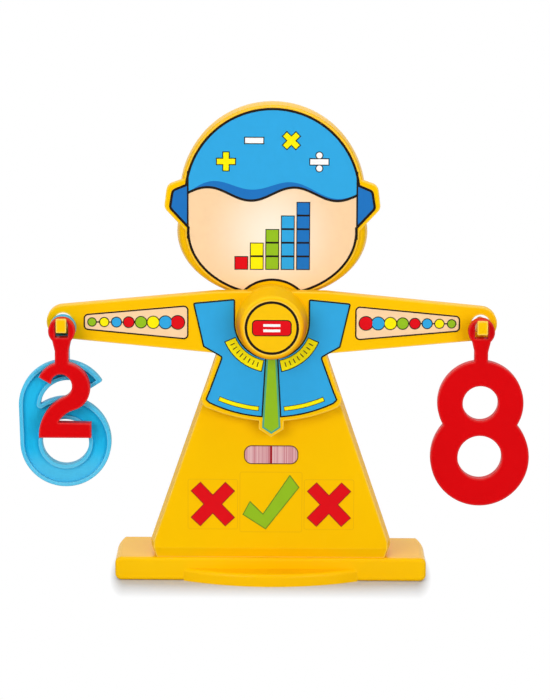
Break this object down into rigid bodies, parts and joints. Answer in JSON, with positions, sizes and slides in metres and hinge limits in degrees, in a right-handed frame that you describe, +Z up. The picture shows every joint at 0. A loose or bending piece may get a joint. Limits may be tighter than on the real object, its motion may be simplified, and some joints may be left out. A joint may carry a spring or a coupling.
{
  "type": "math balance",
  "caption": "Toy balance: a tilting beam with hooks on a flat tower, weighing hanging plastic numerals over a centre scale.",
  "frame": {"origin": "middle of the foot, on the ground", "axes": "+Z up, +X to the right along the beam, and -Y towards the front, where the hooks point"},
  "size_m": [0.4234, 0.1142, 0.405],
  "materials": {
    "yellow_shell": "glossy moulded",
    "red_numeral": "glossy moulded",
    "blue_numeral": "glossy moulded",
    "bearing_plastic": "natural acetal",
    "steel": "zinc plated",
    "printed_film": "printed self-adhesive film, satin gloss",
    "printed_paper": "coated printed label"
  },
  "bodies": {
    "stand": {"base_shell": "yellow_shell", "base_screws": "steel", "tower_front_shell": "yellow_shell", "tower_rear_cover": "yellow_shell", "rear_cover_screws": "steel", "pivot_axle": "steel", "pivot_spacer": "bearing_plastic", "retaining_washer": "steel", "retaining_screw": "steel", "head_label": "printed_film", "scale_label": "printed_paper", "left_cross_label": "printed_film", "right_cross_label": "printed_film", "tick_label": "printed_film"},
    "beam": {"balance_beam": "yellow_shell", "hub_bush": "bearing_plastic", "hub_cap": "yellow_shell", "hub_label": "printed_film", "body_label": "printed_film", "pointer_label": "printed_film", "left_arm_label": "printed_film", "right_arm_label": "printed_film"},
    "two": {"number_two": "red_numeral"},
    "six": {"number_six": "blue_numeral"},
    "eight": {"number_eight": "red_numeral"}
  },
  "joints": [
    {"name": "beam_tilt", "type": "hinge", "parent": "stand", "child": "beam", "pos_m": [0, -0.053, 0.225], "axis": [0, 1, 0], "range_deg": [-12, 12]},
    {"name": "two_swing", "type": "hinge", "parent": "beam", "child": "two", "pos_m": [-0.173, -0.06725, 0.2255], "axis": [0, 1, 0], "range_deg": [-12, 12]},
    {"name": "six_swing", "type": "hinge", "parent": "beam", "child": "six", "pos_m": [-0.173, -0.05625, 0.2255], "axis": [0, 1, 0], "range_deg": [-12, 12]},
    {"name": "eight_swing", "type": "hinge", "parent": "beam", "child": "eight", "pos_m": [0.173, -0.06175, 0.2255], "axis": [0, 1, 0], "range_deg": [-12, 12]}
  ]
}
